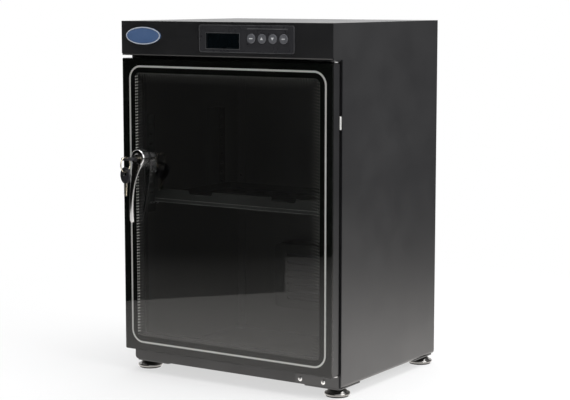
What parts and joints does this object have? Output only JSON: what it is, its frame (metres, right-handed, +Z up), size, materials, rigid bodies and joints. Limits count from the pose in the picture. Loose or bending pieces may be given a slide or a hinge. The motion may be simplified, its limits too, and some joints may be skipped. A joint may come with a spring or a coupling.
{
  "type": "electronic dry cabinet",
  "caption": "Black steel humidity-control cabinet with a hinged glass door, lock pull with keys, control fascia with display and buttons, lift-out shelf, desiccant unit and round feet.",
  "frame": {"origin": "middle of the overall footprint, on the floor under the foot pads", "axes": "+X to the right as seen from the front, +Y from the door to the back, +Z up"},
  "size_m": [0.406, 0.3996, 0.575],
  "materials": {
    "black_steel": "semi-gloss black powder coat",
    "door_bar": "satin black",
    "panel_black": "gloss black",
    "display_glass": "dark tinted",
    "display": "dark display, off",
    "circuit": "green circuit board",
    "keypad_rubber": "grey silicone",
    "button_grey": "satin grey",
    "badge_blue": "blue enamel with a silver rim",
    "lamp_white": "frosted white",
    "unit_white": "dark grey moulding",
    "desiccant": "grey-blue granules in a frame",
    "damper_grey": "grey",
    "vent_black": "fine-textured black",
    "steel": "zinc-plated",
    "dark_screw": "blackened, worn bright",
    "foot_chrome": "polished",
    "black_rubber": "matt black",
    "stop_white": "off-white",
    "door_glass": "clear, printed black round the edge",
    "bush": "natural acetal",
    "pull_chrome": "polished",
    "key_black": "moulded black",
    "brass": "worn brass"
  },
  "bodies": {
    "cabinet": {"left_side": "black_steel", "right_side": "black_steel", "roof": "black_steel", "floor_pan": "black_steel", "back_panel": "black_steel", "front_frame": "black_steel", "fascia": "black_steel", "ceiling_plate": "black_steel", "control_panel": "panel_black", "display_window": "display_glass", "display_module": "display", "control_board": "circuit", "keypad": "keypad_rubber", "badge": "badge_blue", "power_board": "circuit", "lamp": "lamp_white", "humidity_sensor": "lamp_white", "unit_case": "unit_white", "desiccant_core": "desiccant", "vent_cover": "vent_black", "power_inlet": "vent_black", "inlet_nut": "steel", "shelf": "black_steel", "shelf_edges": "black_steel", "shelf_sides": "black_steel", "shelf_rails": "black_steel", "shelf_clips": "steel", "corner_plates": "black_steel", "feet": "foot_chrome", "foot_pads": "black_rubber", "foot_screws": "steel", "upper_hinge": "black_steel", "lower_hinge": "black_steel", "hinge_washers": "steel", "hinge_screws": "dark_screw", "stop_pad": "stop_white", "back_screws": "dark_screw"},
    "door": {"door_frame": "door_bar", "door_glass": "door_glass", "door_gasket": "black_rubber", "hinge_bushes": "bush", "pull": "pull_chrome", "lock_washer": "black_rubber", "lock_nut": "steel"},
    "lock": {"lock_core": "steel", "lock_cam": "steel", "cam_screw": "steel", "key_head": "key_black", "key_blade": "brass"},
    "ring": {"key_ring": "brass"},
    "spare": {"spare_head": "key_black", "spare_blade": "brass"},
    "set_key": {"set_button": "button_grey"},
    "up_key": {"up_button": "button_grey"},
    "down_key": {"down_button": "button_grey"},
    "light_key": {"light_button": "button_grey"},
    "damper": {"damper": "damper_grey"}
  },
  "joints": [
    {"name": "door_swing", "type": "hinge", "parent": "cabinet", "child": "door", "pos_m": [0.19355, -0.12575, 0.27675], "axis": [0, 0, 1], "range_deg": [0, 100]},
    {"name": "lock_turn", "type": "hinge", "parent": "door", "child": "lock", "pos_m": [-0.1595, -0.135, 0.3563], "axis": [0, 1, 0], "range_deg": [0, 90]},
    {"name": "ring_swing", "type": "hinge", "parent": "lock", "child": "ring", "pos_m": [-0.1595, -0.18725, 0.35964], "axis": [0, 1, 0], "range_deg": [-25, 25]},
    {"name": "spare_swing", "type": "hinge", "parent": "ring", "child": "spare", "pos_m": [-0.1595, -0.18725, 0.33644], "axis": [0, 1, 0], "range_deg": [-45, 45]},
    {"name": "set_press", "type": "slide", "parent": "cabinet", "child": "set_key", "axis": [0, 1, 0], "range_m": [0, 0.0008], "stiffness_N_per_m": 400},
    {"name": "up_press", "type": "slide", "parent": "cabinet", "child": "up_key", "axis": [0, 1, 0], "range_m": [0, 0.0008], "stiffness_N_per_m": 400},
    {"name": "down_press", "type": "slide", "parent": "cabinet", "child": "down_key", "axis": [0, 1, 0], "range_m": [0, 0.0008], "stiffness_N_per_m": 400},
    {"name": "light_press", "type": "slide", "parent": "cabinet", "child": "light_key", "axis": [0, 1, 0], "range_m": [0, 0.0008], "stiffness_N_per_m": 400},
    {"name": "damper_slide", "type": "slide", "parent": "cabinet", "child": "damper", "axis": [0, 0, 1], "range_m": [0, 0.0062]}
  ]
}
